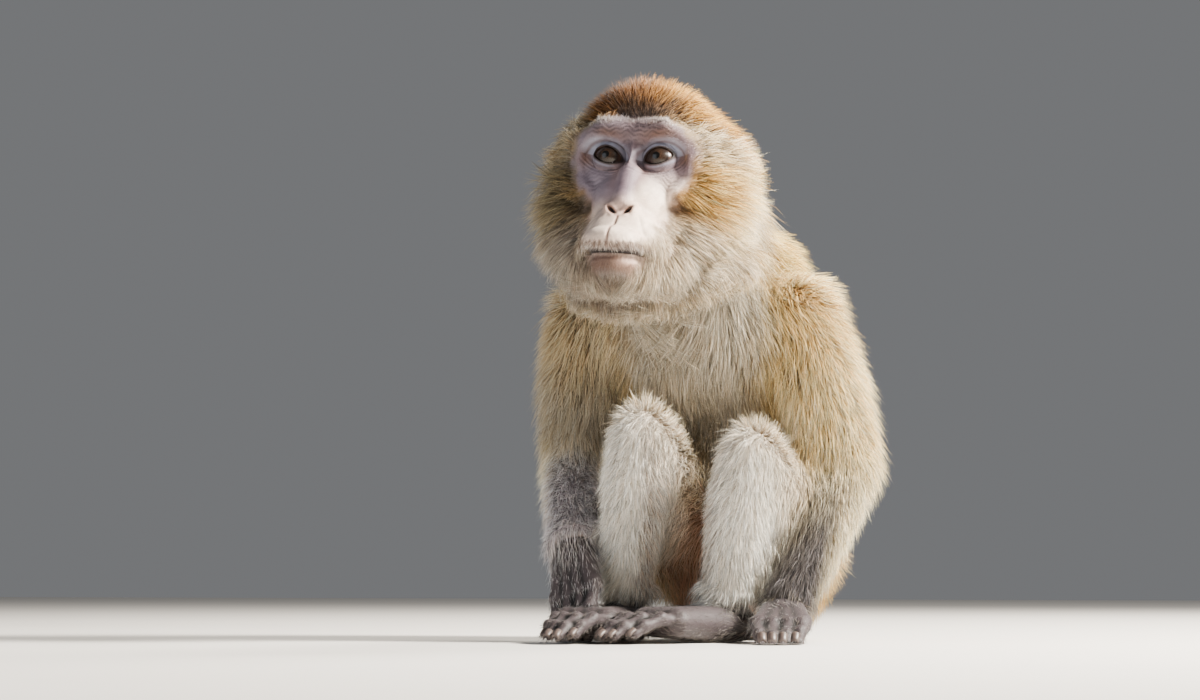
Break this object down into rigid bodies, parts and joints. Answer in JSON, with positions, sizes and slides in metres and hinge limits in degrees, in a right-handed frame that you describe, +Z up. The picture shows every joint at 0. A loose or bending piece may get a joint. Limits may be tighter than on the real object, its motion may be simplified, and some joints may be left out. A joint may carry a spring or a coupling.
{
  "type": "seated macaque model",
  "caption": "Life-size still model of a long-tailed macaque sitting on its haunches, knees drawn up, head turned to one side, tail laid along the floor.",
  "frame": {"origin": "on the floor plane, in the middle of the flat under the rump", "axes": "+Z up, -Y the way the animal faces, +X to the animal's left"},
  "size_m": [0.2903, 0.4363, 0.3679],
  "materials": {
    "coat": "dense golden grey-brown hair, paler on the chest and shins",
    "hands_and_feet": "dark bare skin with short grey hair",
    "face": "matt bare skin",
    "eyes": "glossy brown glass eye"
  },
  "bodies": {
    "root": {"pelvis": "coat", "head": "face", "neck": "coat", "chest": "coat", "belly": "coat", "eye_left": "eyes", "eye_right": "eyes", "ear_left": "hands_and_feet", "ear_right": "hands_and_feet", "thigh_left": "coat", "shank_left": "coat", "foot_left": "hands_and_feet", "thigh_right": "coat", "shank_right": "coat", "foot_right": "hands_and_feet", "upper_arm_left": "coat", "forearm_left": "coat", "hand_left": "hands_and_feet", "upper_arm_right": "coat", "forearm_right": "coat", "hand_right": "hands_and_feet", "tail_base": "coat", "tail_upper": "coat", "tail_lower": "coat", "tail_tip": "coat"}
  },
  "joints": []
}
